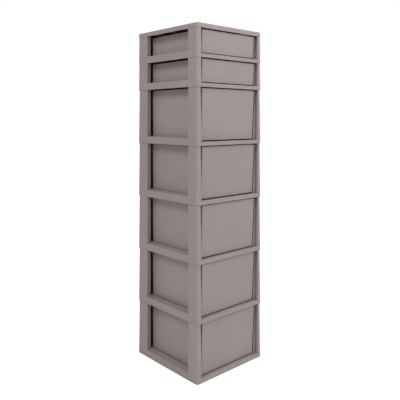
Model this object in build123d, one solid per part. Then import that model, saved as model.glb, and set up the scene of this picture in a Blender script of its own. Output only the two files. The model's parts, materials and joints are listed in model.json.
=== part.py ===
from build123d import *
import math
import os

# Stackable drawer tower: moulded frames with a drawer in each, closed by a top cover.
# Millimetres. Origin: centre of the footprint, on the floor. +Z is up, the drawers open towards -Y.
# Every module is modelled standing on z = 0, so the seam above it is at its pitch.

# ---- the stack ----
WIDTH = 300.0              # across the foot of a frame
DEPTH = 315.0              # front to back at the foot of a frame
DEEP_PITCH = 186.0         # height that a deep module adds to the stack
SHALLOW_PITCH = 93.0       # height that a shallow module adds
DEEP_COUNT = 5             # deep modules, at the bottom
SHALLOW_COUNT = 2          # shallow modules, on top of them
COVER_HEIGHT = 15.0        # top cover, from the last seam to its rim

# ---- frame moulding ----
FRAME_WALL = 2.8           # outer skin, returns and rail walls
FRAME_DRAFT = 0.52         # degrees: every frame is narrower at its head than at its foot
CORNER_RADIUS = 8.0        # upright outer corners
EDGE_CHAMFER = 1.2         # broken outer edge round each window
FRONT_RAIL = 12.5          # height of the front rail, which is also the level of the floor
FLOOR_WALL = 2.5           # floor plate that the drawer slides on
SIDE_RAIL = 23.4           # height of the side and rear rails at their outer face
LEDGE_RISE = 2.4           # how much a rail's ledge rises inwards
SIDE_LEDGE = 24.0          # width of the side rails
REAR_LEDGE = 46.0          # width of the rear rail
RAIL_INSET = 24.0          # front end of the side rails behind the front face

# ---- corner posts ----
FRONT_FLANGE = 15.5        # width of a post on the front face, at its foot
OPENING_DRAFT = 0.65       # degrees: the drawer opening widens towards its head
SIDE_FLANGE_FRONT = 45.5   # width of a front post on the side face
SIDE_FLANGE_REAR = 53.0    # width of a rear post on the side face
FRONT_RETURN = 14.0        # how far a front post turns in beside the drawer front
LIP_WIDTH = 5.3            # lip at the end of that return, facing forwards
SIDE_RETURN = 15.5         # how far a post turns in at the side windows

# ---- stacking tongues on the post heads ----
TONGUE_HEIGHT = 6.0        # height above the seam
TONGUE_ROOT = 9.0          # length that is moulded onto the skin below the seam
TONGUE_WALL = 2.2
TONGUE_LENGTH = 13.0       # length along a face, from the end of the rounded corner
TONGUE_CLEARANCE = 0.3     # to the skin of the frame or cover above

# ---- drawers ----
SIDE_CLEARANCE = 4.0       # rim of a drawer to the side rails
REAR_CLEARANCE = 1.0       # rim of a drawer to the rear rail
RIM_RECESS = 7.5           # rim of the drawer front behind the front face
RIM_GAP = 2.8              # rim to the seam above it
FLOOR_GAP = 4.0            # drawer bottom to the floor
FRONT_LEAN = 2.5           # degrees: the drawer front leans in towards its bottom
DRAWER_DRAFT = 0.5         # degrees: taper of the drawer's sides and rear
DRAWER_WALL = 2.2
DRAWER_BASE = 2.4
DRAWER_CORNER = 2.5        # upright outer corners
INSIDE_CORNER = 1.5        # upright corners inside the drawer
DRAWER_TRAVEL = 200.0      # pull of a drawer up to its stop

# ---- runners ----
SLIDE_CLEARANCE = 0.3      # skids over the floor
SKID_WALL = 3.0            # width of the two skids under a drawer
SKID_MARGIN = 25.0         # middle of a skid inside the drawer's rim
SKID_INSET = 14.0          # skid ends inside the ends of the drawer bottom
GUIDE_WALL = 2.5           # width of the two guides on the floor
GUIDE_CLEARANCE = 1.0      # skid to guide, sideways
GUIDE_TOP_GAP = 0.6        # drawer bottom over the guides
GUIDE_INSET = 30.0         # front end of the guides behind the front face

# ---- drawer stops: lugs on the rear rim, and what they meet under the plate above ----
LUG_X = 31.0               # distance of the two lugs from the middle
LUG_WIDTH = 20.0
LUG_WALL = 3.0
LUG_ROOT = 9.0             # length that is moulded onto the rear wall below the rim
LUG_TOP = 2.4              # height above the seam
LUG_HEADROOM = 0.6         # lugs to the ribs that they pass under
STOP_WIDTH = 26.0
STOP_WALL = 3.0
STOP_OVERLAP = 2.0         # height by which a lug catches its stop
STOP_CLEARANCE = 0.5       # lug to stop with the drawer pulled right out

# ---- stiffening ribs under each floor, in the rails and under the cover ----
RIB_WALL = 1.8
RIB_SPACING_X = 80.0       # between the two lengthways ribs
RIB_SPACING_Y = 78.0       # from one to the next of the three crossways ribs

# ---- cover ----
COVER_WALL = 2.6           # thickness of the deck
TRAY_DEPTH = 1.2           # tray in the deck, below the rim
RIM_WIDTH = 7.0            # width of the rim round the tray
COVER_CHAMFER = 1.6        # broken upper edge

# ---- aids to the modelling ----
CUT_PAST = 1.0             # cutters run this far past what they cut
FACE_TOLERANCE = 0.05      # an edge this near a face counts as lying in it
LEAST_RADIUS = 1.0
UPRIGHT = 0.9              # least upward part of the direction of an upright edge

# ---- worked out from the sizes above ----
HALF_W = WIDTH / 2
HALF_D = DEPTH / 2
FLOOR_UNDERSIDE = FRONT_RAIL - FLOOR_WALL
RAIL_X = HALF_W - SIDE_LEDGE                  # inner faces of the side rails
RAIL_Y = HALF_D - REAR_LEDGE                  # inner face of the rear rail
RAIL_FRONT = -HALF_D + RAIL_INSET
RIB_BOTTOM = LUG_TOP + LUG_HEADROOM           # lower edge of the ribs and rail walls
RIBS_X = (-RIB_SPACING_X / 2, RIB_SPACING_X / 2)
RIBS_Y = (-RIB_SPACING_Y, 0, RIB_SPACING_Y)
DRAWER_HALF = RAIL_X - SIDE_CLEARANCE         # half the width of a drawer, at its rim
DRAWER_FRONT = -HALF_D + RIM_RECESS           # front of a drawer, at its rim
DRAWER_REAR = RAIL_Y - REAR_CLEARANCE         # rear of a drawer, at its rim
DRAWER_BOTTOM = FRONT_RAIL + FLOOR_GAP
SKID_X = DRAWER_HALF - SKID_MARGIN
GUIDE_X = SKID_X + SKID_WALL / 2 + GUIDE_CLEARANCE + GUIDE_WALL / 2


def lean(height, degrees):
    """How far a face that leans by some degrees moves sideways over a height."""
    return height * math.tan(math.radians(degrees))


def slab(x0, x1, y0, y1, z0, z1):
    """Upright block between two corners."""
    return Pos((x0 + x1) / 2, (y0 + y1) / 2, (z0 + z1) / 2) * Box(x1 - x0, y1 - y0, z1 - z0)


def both_sides(solid):
    """A piece and its mirror image on the other side of the tower."""
    return solid + solid.mirror(Plane.YZ)


def uprights(solid):
    """The edges of a solid that run upwards."""
    return solid.edges().filter_by(lambda edge: abs((edge % 0.5).Z) > UPRIGHT)


# ---- frames ----


def drafted_block(height, inset=0.0):
    """Section of the tower that narrows upwards, drawn in by inset on every side."""
    block = extrude(Rectangle(WIDTH - 2 * inset, DEPTH - 2 * inset), height, taper=FRAME_DRAFT)
    return fillet(uprights(block), max(CORNER_RADIUS - inset, LEAST_RADIUS))


def opening_prism(z0, z1, grown, y0, y1):
    """Prism of the drawer opening, which widens upwards, grown by some distance at both sides."""
    low = HALF_W - FRONT_FLANGE + grown + lean(z0, OPENING_DRAFT)
    high = HALF_W - FRONT_FLANGE + grown + lean(z1, OPENING_DRAFT)
    outline = Polyline((-low, z0), (low, z0), (high, z1), (-high, z1), close=True)
    return extrude(Plane.XZ.offset(-y1) * make_face(outline), y1 - y0)


def window_cutters(height):
    """Openings in the skin: the drawer opening in front and a window in both sides."""
    head = height + CUT_PAST
    front = opening_prism(FRONT_RAIL, head, 0, -HALF_D - CUT_PAST, RAIL_FRONT)
    y0, y1 = -HALF_D + SIDE_FLANGE_FRONT, HALF_D - SIDE_FLANGE_REAR
    return front + slab(-HALF_W - CUT_PAST, HALF_W + CUT_PAST, y0, y1, SIDE_RAIL, head)


def is_window_edge(edge, height):
    """True for an edge of a window that lies in the outer face of the skin."""
    middle = edge @ 0.5
    from_side = HALF_W - lean(middle.Z, FRAME_DRAFT) - abs(middle.X)
    from_end = HALF_D - lean(middle.Z, FRAME_DRAFT) - abs(middle.Y)
    in_face = min(from_side, from_end) < FACE_TOLERANCE
    off_corner = max(from_side, from_end) > CORNER_RADIUS + FACE_TOLERANCE
    off_ends = FACE_TOLERANCE < middle.Z < height - FACE_TOLERANCE
    return in_face and off_corner and off_ends


def skin(height):
    """Outer skin of a frame, with its openings and their broken outer edges."""
    shell = drafted_block(height) - drafted_block(height, FRAME_WALL) - window_cutters(height)
    rims = shell.edges().filter_by(lambda edge: is_window_edge(edge, height))
    return chamfer(rims, EDGE_CHAMFER)


def front_returns(height):
    """Where the front posts turn in beside the drawer, and end in a lip that faces forwards."""
    y0, y1 = -HALF_D, -HALF_D + FRONT_RETURN
    y2 = y1 + FRAME_WALL
    block = opening_prism(FLOOR_UNDERSIDE, height, FRAME_WALL, y0, y2)
    before_lip = opening_prism(FLOOR_UNDERSIDE, height, 0, y0, y1)
    between_lips = opening_prism(FLOOR_UNDERSIDE, height, -LIP_WIDTH, y0, y2)
    return block - before_lip - between_lips


def side_returns(height):
    """Where the posts turn in at the edges of the side windows."""
    x0, x1 = HALF_W - SIDE_RETURN, HALF_W
    y0, y1 = -HALF_D + SIDE_FLANGE_FRONT, HALF_D - SIDE_FLANGE_REAR
    low = SIDE_RAIL - FRAME_WALL
    front = slab(x0, x1, y0 - FRAME_WALL, y0, low, height)
    rear = slab(x0, x1, y1, y1 + FRAME_WALL, low, height)
    return both_sides(front + rear)


def rail_section(ledge, wall=0.0):
    """Section of a rail under its sloping ledge, drawn in by a wall; it runs inwards along x."""
    ledge_top = SIDE_RAIL + LEDGE_RISE
    outline = Polyline(
        (0, RIB_BOTTOM),
        (0, SIDE_RAIL - wall),
        (ledge - wall, ledge_top - wall),
        (ledge - wall, RIB_BOTTOM),
        close=True,
    )
    return make_face(outline)


def side_rails():
    """Ledges along both sides over channels that are open below, with webs across them."""
    channel = rail_section(SIDE_LEDGE) - rail_section(SIDE_LEDGE, FRAME_WALL)
    rail = extrude(across_left_side(RAIL_FRONT) * channel, -(HALF_D - RAIL_FRONT))
    for y in (RAIL_FRONT, *RIBS_Y):
        rail += extrude(across_left_side(y) * rail_section(SIDE_LEDGE), RIB_WALL / 2, both=True)
    return both_sides(rail)


def across_left_side(y):
    """Plane across the left side rail; its x axis runs inwards and its y axis up."""
    return Plane(origin=(-HALF_W, y, 0), x_dir=(1, 0, 0), z_dir=(0, -1, 0))


def rear_rail():
    """Ledge along the rear, between the side rails, made like them."""
    channel = rail_section(REAR_LEDGE) - rail_section(REAR_LEDGE, FRAME_WALL)
    rail = extrude(across_rear(0) * channel, RAIL_X, both=True)
    for x in RIBS_X:
        rail += extrude(across_rear(x) * rail_section(REAR_LEDGE), RIB_WALL / 2, both=True)
    return rail


def across_rear(x):
    """Plane across the rear rail; its x axis runs inwards and its y axis up."""
    return Plane(origin=(x, HALF_D, 0), x_dir=(0, -1, 0), z_dir=(-1, 0, 0))


def floor_plate():
    """Floor between the rails, and across the whole width in front of them."""
    reach = RAIL_X + FRAME_WALL / 2
    between = slab(-reach, reach, -HALF_D, RAIL_Y + FRAME_WALL / 2, FLOOR_UNDERSIDE, FRONT_RAIL)
    return between + slab(-HALF_W, HALF_W, -HALF_D, RAIL_FRONT, FLOOR_UNDERSIDE, FRONT_RAIL)


def ribs(x_reach, y_reach, plate_underside):
    """Grid of stiffening ribs under a plate, out to x_reach at the sides and y_reach at the rear."""
    half = RIB_WALL / 2
    lengthways = [slab(x - half, x + half, -HALF_D, y_reach, RIB_BOTTOM, plate_underside) for x in RIBS_X]
    crossways = [slab(-x_reach, x_reach, y - half, y + half, RIB_BOTTOM, plate_underside) for y in RIBS_Y]
    return Part() + lengthways + crossways


def stops(plate_underside):
    """Two stops that catch the lugs of the drawer below when it is pulled right out."""
    rear = DRAWER_REAR - LUG_WALL - DRAWER_TRAVEL - STOP_CLEARANCE
    x0, x1 = LUG_X - STOP_WIDTH / 2, LUG_X + STOP_WIDTH / 2
    return both_sides(slab(x0, x1, rear - STOP_WALL, rear, LUG_TOP - STOP_OVERLAP, plate_underside))


def guides():
    """Two low guides on the floor that keep the drawer's skids on their line."""
    x0, x1 = GUIDE_X - GUIDE_WALL / 2, GUIDE_X + GUIDE_WALL / 2
    top = DRAWER_BOTTOM - GUIDE_TOP_GAP
    rear = RAIL_Y + FRAME_WALL / 2
    return both_sides(slab(x0, x1, -HALF_D + GUIDE_INSET, rear, FLOOR_UNDERSIDE, top))


def tongues(height):
    """Tabs on the heads of the posts, inside the skin, that locate the next frame or the cover."""
    z0, z1 = height - TONGUE_ROOT, height + TONGUE_HEIGHT
    x_face = HALF_W - FRAME_WALL - TONGUE_CLEARANCE
    y_face = HALF_D - FRAME_WALL - TONGUE_CLEARANCE
    x_end, y_end = HALF_W - CORNER_RADIUS, HALF_D - CORNER_RADIUS
    x_post = HALF_W - FRONT_FLANGE + lean(height, OPENING_DRAFT)
    tabs = slab(x_face - TONGUE_WALL, x_face, y_end - TONGUE_LENGTH, y_end, z0, z1)
    tabs += slab(x_face - TONGUE_WALL, x_face, -y_end, -y_end + TONGUE_LENGTH, z0, z1)
    tabs += slab(x_end - TONGUE_LENGTH, x_end, y_face - TONGUE_WALL, y_face, z0, z1)
    tabs += slab(x_post, x_end, -y_face, -y_face + TONGUE_WALL, z0, z1)
    return both_sides(tabs)


def frame(height):
    """One frame moulding: floor, rails and four posts, closed at the rear."""
    inside = floor_plate() + side_rails() + rear_rail() + ribs(RAIL_X, RAIL_Y, FLOOR_UNDERSIDE)
    inside += front_returns(height) + side_returns(height)
    inside = inside & drafted_block(height, FRAME_WALL / 2)
    return skin(height) + inside + guides() + stops(FLOOR_UNDERSIDE) + tongues(height)


# ---- cover ----


def tray_cutter():
    """Shallow tray in the deck of the cover, whose walls lean outwards."""
    outline = Rectangle(WIDTH - 2 * RIM_WIDTH, DEPTH - 2 * RIM_WIDTH)
    tray = extrude(outline, TRAY_DEPTH + CUT_PAST, taper=-FRAME_DRAFT)
    return Pos(0, 0, COVER_HEIGHT - TRAY_DEPTH) * fillet(uprights(tray), LEAST_RADIUS)


def top_cover():
    """Cover over the last frame: a deck with a shallow tray, and a skirt all round."""
    body = drafted_block(COVER_HEIGHT)
    body = chamfer(body.faces().sort_by(Axis.Z)[-1].edges(), COVER_CHAMFER)
    underside = COVER_HEIGHT - TRAY_DEPTH - COVER_WALL
    under = ribs(HALF_W, HALF_D, underside) & drafted_block(underside, FRAME_WALL / 2)
    return body - drafted_block(underside, FRAME_WALL) - tray_cutter() + under + stops(underside)


# ---- drawers ----


def drawer_block(rim, bottom, inset, radius):
    """Body that fills a drawer between its four leaning faces, drawn in by inset."""
    side, end = lean(rim - bottom, DRAWER_DRAFT), lean(rim - bottom, FRONT_LEAN)
    x1 = DRAWER_HALF - inset
    x0 = x1 - side
    y0, y1 = DRAWER_FRONT + inset, DRAWER_REAR - inset
    front_view = Polyline((-x0, bottom), (x0, bottom), (x1, rim), (-x1, rim), close=True)
    side_view = Polyline((y0 + end, bottom), (y1 - side, bottom), (y1, rim), (y0, rim), close=True)
    across = extrude(Plane.YZ * make_face(side_view), HALF_W, both=True)
    along = extrude(Plane.XZ * make_face(front_view), HALF_D, both=True)
    return fillet(uprights(across & along), radius)


def drawer(pitch):
    """One drawer in its frame: a tub with skids under it and lugs on its rear rim."""
    rim = pitch - RIM_GAP
    tub = drawer_block(rim, DRAWER_BOTTOM, 0, DRAWER_CORNER)
    hollow = drawer_block(rim, DRAWER_BOTTOM, DRAWER_WALL, INSIDE_CORNER)
    above_base = slab(-HALF_W, HALF_W, -HALF_D, HALF_D, DRAWER_BOTTOM + DRAWER_BASE, pitch)
    return tub - (hollow & above_base) + skids(rim) + lugs(rim, pitch)


def skids(rim):
    """Two skids under a drawer that slide on the floor of the frame."""
    fall = rim - DRAWER_BOTTOM
    y0 = DRAWER_FRONT + lean(fall, FRONT_LEAN) + SKID_INSET
    y1 = DRAWER_REAR - lean(fall, DRAWER_DRAFT) - SKID_INSET
    x0, x1 = SKID_X - SKID_WALL / 2, SKID_X + SKID_WALL / 2
    z0, z1 = FRONT_RAIL + SLIDE_CLEARANCE, DRAWER_BOTTOM + DRAWER_BASE / 2
    return both_sides(slab(x0, x1, y0, y1, z0, z1))


def lugs(rim, seam):
    """Two lugs on the rear rim that meet the stops under the plate above."""
    x0, x1 = LUG_X - LUG_WIDTH / 2, LUG_X + LUG_WIDTH / 2
    y0, y1 = DRAWER_REAR - LUG_WALL, DRAWER_REAR - DRAWER_WALL / 2
    return both_sides(slab(x0, x1, y0, y1, rim - LUG_ROOT, seam + LUG_TOP))


# ---- the tower ----


def save(name, solid):
    """Write one piece, and say how many solids it holds."""
    export_step(solid, "parts/" + name + ".step")
    print(name, "solids:", len(solid.solids()), "volume cm3:", round(solid.volume / 1000, 1))


def build():
    os.makedirs("parts", exist_ok=True)
    kinds = [("deep", DEEP_PITCH, DEEP_COUNT), ("shallow", SHALLOW_PITCH, SHALLOW_COUNT)]
    level = 0.0
    for kind, pitch, count in kinds:
        frame_moulding = frame(pitch)
        drawer_moulding = drawer(pitch)
        for number in range(1, count + 1):
            save(f"{kind}_frame_{number}", Pos(0, 0, level) * frame_moulding)
            save(f"{kind}_drawer_{number}", Pos(0, 0, level) * drawer_moulding)
            level += pitch
    save("top_cover", Pos(0, 0, level) * top_cover())


build()
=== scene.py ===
import json
import math

import bpy
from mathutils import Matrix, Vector


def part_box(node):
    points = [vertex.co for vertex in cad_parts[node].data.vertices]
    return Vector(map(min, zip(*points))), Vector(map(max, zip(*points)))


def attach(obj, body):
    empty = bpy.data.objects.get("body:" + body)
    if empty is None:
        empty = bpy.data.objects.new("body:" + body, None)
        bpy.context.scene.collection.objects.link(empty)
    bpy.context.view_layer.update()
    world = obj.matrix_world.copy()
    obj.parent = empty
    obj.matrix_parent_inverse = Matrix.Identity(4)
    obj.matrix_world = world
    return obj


# Seven-drawer tower of moulded plastic on a white studio floor. Metres, in the part's own frame.

# ---- camera: level, with a lens shift, as the photograph was taken ----
PHOTO_SIZE = 400                    # photograph, pixels each way
FOCAL_PX = 514.9                    # focal length in those pixels
HORIZON_PX = 119.8                  # row of the horizon
CAMERA_AT = (-1.2177, -1.3495, 0.8260)
CAMERA_TURN = math.radians(-42.16)  # about the vertical, from looking along +Y
LEVEL = math.radians(90)            # tilt of a camera that looks at the horizon
SENSOR_MM = 36.0

# ---- light: key in front, fill from the upper left, a weak rim light from the right ----
WHITE = (1.0, 1.0, 1.0, 1.0)
WORLD_LEVEL = 0.42                  # even light from all round
KEY = {"at": (0.38, -2.20, 2.40), "target": (0.0, 0.0, 1.0), "size": (1.2, 1.2), "power": 32.5}
FILL = {"at": (-2.4, -0.65, 3.0), "target": (0.0, 0.0, 0.5), "size": (1.1, 1.1), "power": 37.0}
RIM = {"at": (2.7, -1.3, 1.9), "target": (0.0, 0.0, 0.6), "size": (1.2, 1.2), "power": 9.0}

# ---- floor ----
FLOOR_SIZE = 14.0
FLOOR_COLOR = (0.86, 0.86, 0.86, 1.0)
FLOOR_SEEN = 0.40                   # how much of its own shading the camera sees
FLOOR_WHITE = 1.46                  # the white that is mixed with it

# ---- plastic: colours linear, scales in cells per metre, tones as factors of the colour ----
FRAME_COLOR = (0.356, 0.298, 0.288, 1.0)
DRAWER_COLOR = (0.362, 0.304, 0.293, 1.0)
NOISE_RANGE = (0.3, 0.7)            # where the values of a noise mostly lie
WAVES = {"scale": 11.0, "detail": 1.0, "strength": 0.35, "depth": 0.003}
GRAIN = {"scale": 1300.0, "detail": 2.0, "strength": 0.25, "depth": 0.0001}
CLOUDS = {"scale": 6.0, "detail": 3.0, "values": (0.965, 1.035)}
SPECKLE = {"scale": 700.0, "detail": 3.0, "values": (0.96, 1.04)}
ROUGHNESS = {"scale": 30.0, "detail": 4.0, "values": (0.40, 0.52)}
PIECE_TONES = (0.985, 1.015)        # from one piece to another
EDGE_RADIUS = 0.0007                # edges look rounded by this
EDGE_TURN = (0.98, 0.75)            # cosine of the turn of the rounded normal, on a face and at an edge
# edge tones: painted highlight, partly rubbed wear, lighter at edges
EDGE_HIGHLIGHT_AND_WEAR = (1.0, 1.07)
CREVICE_SHADE_REACH = 0.012               # how far from a corner the painted shade reaches
CREVICE_OPEN = (0.15, 0.70)         # how open to the air, deep in a corner and clear of it
# painted shade: tone deep in a corner and clear of it
CREVICE_SHADE_TONES = (0.83, 1.0)
SPECULAR_LEVEL = 0.45

# ---- frame mouldings, as the CAD has them ----
POST_WIDTH = 0.0155                 # of a front post on the front face, at its foot
POST_LEAN = math.tan(math.radians(0.65))  # slope by which the drawer opening widens upwards
FACE_LEAN = math.tan(math.radians(0.52))  # slope of the front face, backwards
RAIL_TOP = 0.0125                   # top of the front rail of a module, and its floor
LIP_BACK = 0.014                    # face of the lip beside the drawer, behind the front face
LIP_WIDTH = 0.0053

# ---- beads and gussets on the front posts ----
POST_COVER = 0.0016                 # how far they reach into the post, past its broken edge
BEAD_WIDTH = 0.0027                 # how much wider a bead makes its post
BEAD_DEPTH = 0.0080                 # from the front face
BEAD_PROUD = 0.0001                 # of the post's face
GUSSET_SLOPE = 0.0380               # by which a gusset widens its lip downwards
GUSSET_WALL = 0.0030
GUSSET_PROUD = 0.0002               # of the lip's face
SEAM_GAP = 0.0003                   # to the frame above
SOFT_EDGE = 0.0005                  # rounding of their edges
SOFT_STEPS = 2


# ---- camera, lights and floor ----


def look_at(obj, target):
    obj.rotation_euler = (Vector(target) - obj.location).to_track_quat("-Z", "Y").to_euler()


def add_camera():
    data = bpy.data.cameras.new("camera")
    data.sensor_width = SENSOR_MM
    data.lens = FOCAL_PX * SENSOR_MM / PHOTO_SIZE
    data.shift_y = (HORIZON_PX - PHOTO_SIZE / 2) / PHOTO_SIZE
    camera = bpy.data.objects.new("camera", data)
    camera.location = CAMERA_AT
    camera.rotation_euler = (LEVEL, 0.0, CAMERA_TURN)
    bpy.context.scene.collection.objects.link(camera)
    bpy.context.scene.camera = camera


def add_area(name, at, target, size, power):
    data = bpy.data.lights.new(name, "AREA")
    data.shape = "RECTANGLE"
    data.size, data.size_y = size
    data.energy = power
    light = bpy.data.objects.new(name, data)
    light.location = at
    bpy.context.scene.collection.objects.link(light)
    look_at(light, target)


def new_node(tree, kind, **inputs):
    """Add a node and set its inputs, by name, to constants or to other nodes' outputs."""
    node = tree.nodes.new("ShaderNode" + kind)
    for name, value in inputs.items():
        socket = node.inputs[name.replace("_", " ")]
        if isinstance(value, bpy.types.NodeSocket):
            tree.links.new(value, socket)
        else:
            socket.default_value = value
    return node


def mix_shaders(tree, share, first, second):
    """Mix two shader nodes by the second one's share, a constant or an output."""
    mix = new_node(tree, "MixShader", Fac=share)
    tree.links.new(first.outputs[0], mix.inputs[1])
    tree.links.new(second.outputs[0], mix.inputs[2])
    return mix


def add_world(level):
    """Even white surroundings; the camera sees plain white."""
    world = bpy.data.worlds.new("studio")
    bpy.context.scene.world = world
    world.use_nodes = True
    tree = world.node_tree
    tree.nodes.clear()
    light = new_node(tree, "Background", Color=WHITE, Strength=level)
    seen = new_node(tree, "Background", Color=WHITE, Strength=1.0)
    path = new_node(tree, "LightPath")
    mix = mix_shaders(tree, path.outputs["Is Camera Ray"], light, seen)
    new_node(tree, "OutputWorld", Surface=mix.outputs[0])


def add_floor():
    """Pale floor that looks white to the camera but keeps the tower's shadow."""
    bpy.ops.mesh.primitive_plane_add(size=FLOOR_SIZE, location=(0, 0, 0))
    floor = bpy.context.object
    floor.name = "floor"
    mat = bpy.data.materials.new("floor")
    mat.use_nodes = True
    tree = mat.node_tree
    tree.nodes.clear()
    shaded = new_node(tree, "BsdfDiffuse", Color=FLOOR_COLOR)
    white = new_node(tree, "Emission", Color=WHITE, Strength=FLOOR_WHITE)
    seen = mix_shaders(tree, 1.0 - FLOOR_SEEN, shaded, white)
    path = new_node(tree, "LightPath")
    mix = mix_shaders(tree, path.outputs["Is Camera Ray"], shaded, seen)
    new_node(tree, "OutputMaterial", Surface=mix.outputs[0])
    floor.data.materials.append(mat)


# ---- plastic ----


def noise(tree, at, scale, detail):
    """Noise from 0 to 1, of a number of cells per metre."""
    return new_node(tree, "TexNoise", Vector=at, Scale=scale, Detail=detail).outputs["Fac"]


def spread(tree, value, source, target):
    """Map one range of a value to another, and hold it there."""
    node = new_node(tree, "MapRange", Value=value)
    node.inputs["From Min"].default_value, node.inputs["From Max"].default_value = source
    node.inputs["To Min"].default_value, node.inputs["To Max"].default_value = target
    return node.outputs["Result"]


def uneven(tree, at, scale, detail, values):
    """A value that varies from place to place, between two."""
    return spread(tree, noise(tree, at, scale, detail), NOISE_RANGE, values)


def bumped(tree, at, normal, scale, detail, strength, depth):
    """A normal with bumps of some depth, in metres."""
    height = noise(tree, at, scale, detail)
    bump = new_node(tree, "Bump", Strength=strength, Distance=depth, Height=height, Normal=normal)
    return bump.outputs["Normal"]


def edge_highlight_and_wear(tree, rounded):
    """Painted highlight and rubbed wear: lighter tones at edges, where the rounded normal turns away
    from the face's own.
    """
    face = new_node(tree, "NewGeometry").outputs["Normal"]
    turn = new_node(tree, "VectorMath")
    turn.operation = "DOT_PRODUCT"
    tree.links.new(rounded, turn.inputs[0])
    tree.links.new(face, turn.inputs[1])
    return spread(tree, turn.outputs["Value"], EDGE_TURN, EDGE_HIGHLIGHT_AND_WEAR)


def painted_crevice_shade(tree):
    """Painted shade: darker tones in corners and gaps, where less light reaches."""
    air = new_node(tree, "AmbientOcclusion", Distance=CREVICE_SHADE_REACH)
    return spread(tree, air.outputs["AO"], CREVICE_OPEN, CREVICE_SHADE_TONES)


def product(tree, first, *others):
    """Multiply some values together."""
    result = first
    for value in others:
        node = new_node(tree, "Math")
        node.operation = "MULTIPLY"
        tree.links.new(result, node.inputs[0])
        tree.links.new(value, node.inputs[1])
        result = node.outputs[0]
    return result


def plastic(name, color):
    """Satin moulded polypropylene: fine grain, slightly wavy walls, uneven tone, soft edges with
    painted highlight and wear, painted shade in corners.
    """
    mat = bpy.data.materials.new(name)
    mat.use_nodes = True
    tree = mat.node_tree
    shader = tree.nodes["Principled BSDF"]
    at = new_node(tree, "TexCoord").outputs["Object"]

    rounded = new_node(tree, "Bevel", Radius=EDGE_RADIUS).outputs["Normal"]
    wavy = bumped(tree, at, rounded, **WAVES)
    tree.links.new(bumped(tree, at, wavy, **GRAIN), shader.inputs["Normal"])

    clouds = uneven(tree, at, **CLOUDS)
    speckle = uneven(tree, at, **SPECKLE)
    piece = spread(tree, new_node(tree, "ObjectInfo").outputs["Random"], (0.0, 1.0), PIECE_TONES)
    # tone: random clouds, speckle and piece tones, painted highlight and wear at edges, painted shade
    # in corners
    tone = product(tree, clouds, speckle, piece, edge_highlight_and_wear(tree, rounded), painted_crevice_shade(tree))
    tint = new_node(tree, "VectorMath")
    tint.operation = "SCALE"
    tint.inputs[0].default_value = color[:3]
    tree.links.new(tone, tint.inputs["Scale"])
    tree.links.new(tint.outputs["Vector"], shader.inputs["Base Color"])

    tree.links.new(uneven(tree, at, **ROUGHNESS), shader.inputs["Roughness"])
    shader.inputs["Specular IOR Level"].default_value = SPECULAR_LEVEL
    return mat


def dress(frame, mats):
    """Give every node the plastic of its slot."""
    slots = {p["node"]: p["material_slot"] for p in frame["record"]["subparts"]}
    for name, node in frame["nodes"].items():
        node.data.materials.clear()
        node.data.materials.append(mats[slots[name]])


# ---- beads and gussets: the posts' wider faces, and the lips that widen downwards ----


def leaning_bar(name, levels, sign):
    """Bar between two level rectangles, each (x range, y range, z), on the +X or the -X side."""
    points = []
    for xs, (y0, y1), z in levels:
        x0, x1 = sorted(sign * x for x in xs)
        points += [(x0, y0, z), (x1, y0, z), (x1, y1, z), (x0, y1, z)]
    faces = [(3, 2, 1, 0), (4, 5, 6, 7), (0, 1, 5, 4), (1, 2, 6, 5), (2, 3, 7, 6), (3, 0, 4, 7)]
    mesh = bpy.data.meshes.new(name)
    mesh.from_pydata(points, [], faces)
    piece = bpy.data.objects.new(name, mesh)
    bpy.context.scene.collection.objects.link(piece)
    soft = piece.modifiers.new("soft_edge", "BEVEL")
    soft.width = SOFT_EDGE
    soft.segments = SOFT_STEPS
    return piece


def post_edges(node, seam, mat):
    """Bead and gusset on both front posts of one frame, which stands below a seam."""
    (left, front, bottom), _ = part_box(node)
    top = seam - bottom - SEAM_GAP
    lip = front + LIP_BACK - GUSSET_PROUD
    levels = {"bead": [], "gusset": []}
    for height in (RAIL_TOP, top):
        edge = -left - POST_WIDTH + height * POST_LEAN
        face = front + height * FACE_LEAN - BEAD_PROUD
        inner = edge - LIP_WIDTH - (top - height) * GUSSET_SLOPE
        z = bottom + height
        levels["bead"].append(((edge - BEAD_WIDTH, edge + POST_COVER), (face, front + BEAD_DEPTH), z))
        levels["gusset"].append(((inner, edge + POST_COVER), (lip, lip + GUSSET_WALL), z))
    for side, sign in (("left", -1), ("right", 1)):
        for kind, ends in levels.items():
            piece = leaning_bar(f"{node}_{side}_{kind}", ends, sign)
            piece.data.materials.append(mat)
            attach(piece, "tower")


def add_post_edges(frame, mat):
    """The posts' edges on every frame, up to the foot of the piece that stands on it."""
    stack = [name for name in frame["nodes"] if "frame" in name or "cover" in name]
    stack.sort(key=lambda name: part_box(name)[0][2])
    for node, above in zip(stack, stack[1:]):
        post_edges(node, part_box(above)[0][2], mat)


bpy.context.scene.view_settings.view_transform = "Standard"
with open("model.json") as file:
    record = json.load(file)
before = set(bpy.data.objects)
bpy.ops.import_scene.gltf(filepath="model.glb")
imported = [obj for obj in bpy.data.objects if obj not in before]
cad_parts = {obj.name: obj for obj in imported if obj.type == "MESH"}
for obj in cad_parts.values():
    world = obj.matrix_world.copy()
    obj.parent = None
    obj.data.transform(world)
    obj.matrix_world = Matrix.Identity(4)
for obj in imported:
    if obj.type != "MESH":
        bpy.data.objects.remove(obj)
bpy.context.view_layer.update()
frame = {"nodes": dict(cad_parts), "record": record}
add_camera()
add_world(WORLD_LEVEL)
add_area("key", **KEY)
add_area("fill", **FILL)
add_area("rim", **RIM)
add_floor()
mats = {"frame_plastic": plastic("frame_plastic", FRAME_COLOR),
        "drawer_plastic": plastic("drawer_plastic", DRAWER_COLOR)}
dress(frame, mats)
add_post_edges(frame, mats["frame_plastic"])
